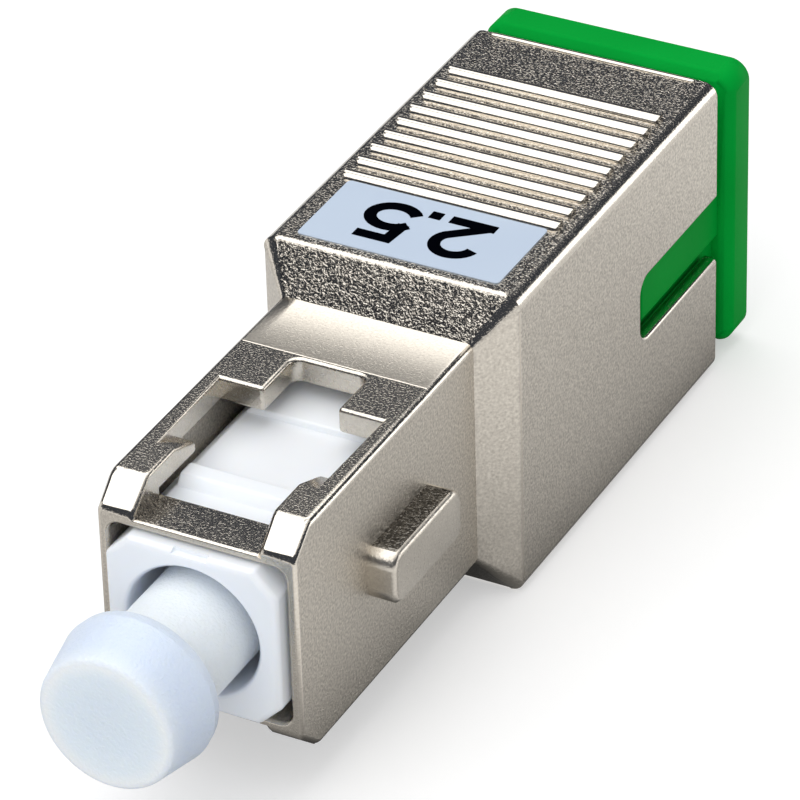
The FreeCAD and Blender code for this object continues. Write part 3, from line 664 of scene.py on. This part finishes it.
def floor_paper():
    """Matt white paper under the part: it takes the shadow nearby and goes to plain white further off."""
    made, tree, out = start_material("matt_white_paper")
    place = put(tree, "ShaderNodeTexCoord").outputs["Object"]
    reach = put(tree, "ShaderNodeVectorMath", {0: place}, operation="LENGTH")
    far = put(tree, "ShaderNodeMapRange", {
        "Value": reach.outputs["Value"], "From Min": PAPER_FADE[0], "From Max": PAPER_FADE[1]},
        interpolation_type="SMOOTHSTEP")
    lift = put(tree, "ShaderNodeMath", {0: seen(tree), 1: PAPER_LIFT}, operation="MULTIPLY")
    paper = put(tree, "ShaderNodeBsdfDiffuse", {"Color": linear("#D2D2D2")})
    glow = put(tree, "ShaderNodeEmission", {"Color": linear("#FFFFFF"), "Strength": lift.outputs[0]})
    near = put(tree, "ShaderNodeAddShader", {0: paper.outputs[0], 1: glow.outputs[0]})
    plain = put(tree, "ShaderNodeEmission", {"Color": linear("#FFFFFF"), "Strength": seen(tree)})
    mix = put(tree, "ShaderNodeMixShader", {0: far.outputs[0], 1: near.outputs[0], 2: plain.outputs[0]})
    tree.links.new(mix.outputs[0], out.inputs["Surface"])
    return made


def lay_floor():
    """A flat sheet just under the part's lowest face."""
    half, level = 4.0, cad_box[0][2] - FLOOR_DROP
    u, v = np.meshgrid(np.linspace(-half, half, 3), np.linspace(-half, half, 3), indexing="ij")
    mesh = grid_mesh("floor", np.stack([u, v, np.full_like(u, level)], axis=-1), False)
    mesh.materials.append(floor_paper())
    floor = bpy.data.objects.new("floor", mesh)
    scene.collection.objects.link(floor)


def mirror_card(name, points, light, closed, tint="#FFFFFF"):
    """A studio card that only mirrors see: an array of points in metres, with the brightness at each."""
    mesh = grid_mesh(name, points, closed)
    mesh.attributes.new("light", "FLOAT", "POINT").data.foreach_set("value", light.astype(np.float32).ravel())
    made, tree, out = start_material(name + "_cloth")
    made.cycles.emission_sampling = "NONE"
    level = put(tree, "ShaderNodeAttribute", attribute_name="light").outputs["Fac"]
    cloth = put(tree, "ShaderNodeEmission", {"Color": linear(tint), "Strength": level})
    tree.links.new(cloth.outputs[0], out.inputs["Surface"])
    mesh.materials.append(made)
    card = bpy.data.objects.new(name, mesh)
    scene.collection.objects.link(card)
    for ray in ("camera", "diffuse", "shadow", "transmission", "volume_scatter"):
        setattr(card, "visible_" + ray, False)


def ring_card(name, radius, low, high, light, tint="#FFFFFF"):
    """A cylinder of cloth round the set, from one elevation to another: height is radius times the tangent.
    The elevations and the brightness are pairs, for the front left and for the back right of the set. The
    second holds up to half of CHANGE_OVER from BACK_RIGHT and gives way to the first over one more."""
    angle = np.linspace(0, 2 * np.pi, 96, endpoint=False)
    aside = np.abs((angle - BACK_RIGHT + np.pi) % (2 * np.pi) - np.pi)
    behind = np.clip(1.5 - aside / CHANGE_OVER, 0, 1)
    edges = [np.radians(front + (back - front) * behind) for front, back in (low, high)]
    points = np.stack(np.broadcast_arrays(
        radius * np.sin(angle), radius * np.cos(angle), radius * np.tan(np.stack(edges))), axis=-1)
    glow = light[0] + (light[1] - light[0]) * behind
    mirror_card(name, points, np.stack([glow, glow]), True, tint)


def set_cards():
    """What the metal mirrors. Dark cloth stands round the set, up to 43 degrees at the front left and from
    20 to 47 at the back right, where the white strip below it gives round edges their bright lines. A white
    sheet hangs overhead. The mat's grey is a painted shadow of the part, by the distance from the part's
    outline, which is the length of the two excesses over half its width and half its length, or inside it the
    larger one: dark under the part, grey beside it, pale from 14 mm on. Painted light makes it lighter at the
    front right, by the grip and in a spot by the bevel."""
    ring_card("dark_curtain", 0.45, low=(-4, 20), high=(43, 47), light=(0.09, 0.08), tint="#DDE8FF")
    ring_card("horizon_strip", 0.47, low=(-3, -3), high=(9, 22), light=(0.1, 2.3))

    sheet_height, sheet_light = 0.36, 2.4
    x, y = np.meshgrid(np.linspace(-0.40, 0.16, 3), np.linspace(-0.43, 0.32, 3), indexing="ij")
    mirror_card("overhead_sheet", np.stack([x, y, np.full_like(x, sheet_height)], axis=-1),
                np.full_like(x, sheet_light), False)

    half_width, half_length, mat_height = 4.9 * MM, 16 * MM, cad_box[0][2] + MAT_RISE
    x, y = np.meshgrid(np.linspace(-0.06, 0.06, 161), np.linspace(-0.065, 0.095, 215), indexing="ij")
    side, end = np.abs(x) - half_width, np.abs(y - half_length) - half_length
    beyond = np.hypot(np.maximum(side, 0), np.maximum(end, 0)) + np.minimum(np.maximum(side, end), 0)
    right, along = x / MM, y / MM
    painted_light_front_right = np.clip((right - 5) / 6, 0, 1) * np.clip((14 - along) / 5, 0, 1)
    painted_light_by_bevel = np.exp(-((right - 6.2) ** 2 + (along - 12.2) ** 2) / 1.2)
    painted_light_by_grip = np.clip((right - 4.9) / 1.5, 0, 1) * np.clip((along - 16) / 6, 0, 1)
    # A painted shadow by the distance from the part's outline, then painted light at three places.
    grey = np.interp(beyond / MM, (-1.5, 0.0, 2.0, 14.0), (0.05, 0.17, 0.38, 0.84))
    grey = grey + 0.32 * painted_light_front_right + 0.35 * painted_light_by_bevel + 0.08 * painted_light_by_grip
    mirror_card("painted_shadow_mat", np.stack([x, y, np.full_like(x, mat_height)], axis=-1), grey, False)


def soft_box(name, place, aim, size, radiance):
    """A lamp panel, width by length: its power is pi times its area times the brightness it shows."""
    data = bpy.data.lights.new(name, "AREA")
    data.shape = "RECTANGLE"
    data.size, data.size_y = size
    data.energy = math.pi * size[0] * size[1] * radiance
    lamp = bpy.data.objects.new(name, data)
    scene.collection.objects.link(lamp)
    back = np.asarray(place, float) - np.asarray(aim, float)
    back /= np.linalg.norm(back)
    right = np.cross((0, 1, 0), back)
    right /= np.linalg.norm(right)
    turn = np.eye(4)
    turn[:3, 0], turn[:3, 1], turn[:3, 2], turn[:3, 3] = right, np.cross(back, right), back, place
    lamp.matrix_world = Matrix(turn.tolist())
    lamp.visible_camera = False
    lamp.visible_glossy = False


photo_camera()
studio_world(fill=0.54)
lay_floor()
set_cards()
soft_box("overhead_panel", place=(-0.10, 0.0, 0.36), aim=(-0.05, 0.0, 0), size=(0.42, 0.62), radiance=1.30)
soft_box("front_panel", place=(0.12, -0.47, 0.26), aim=(0, 0, 0), size=(0.60, 0.30), radiance=1.60)
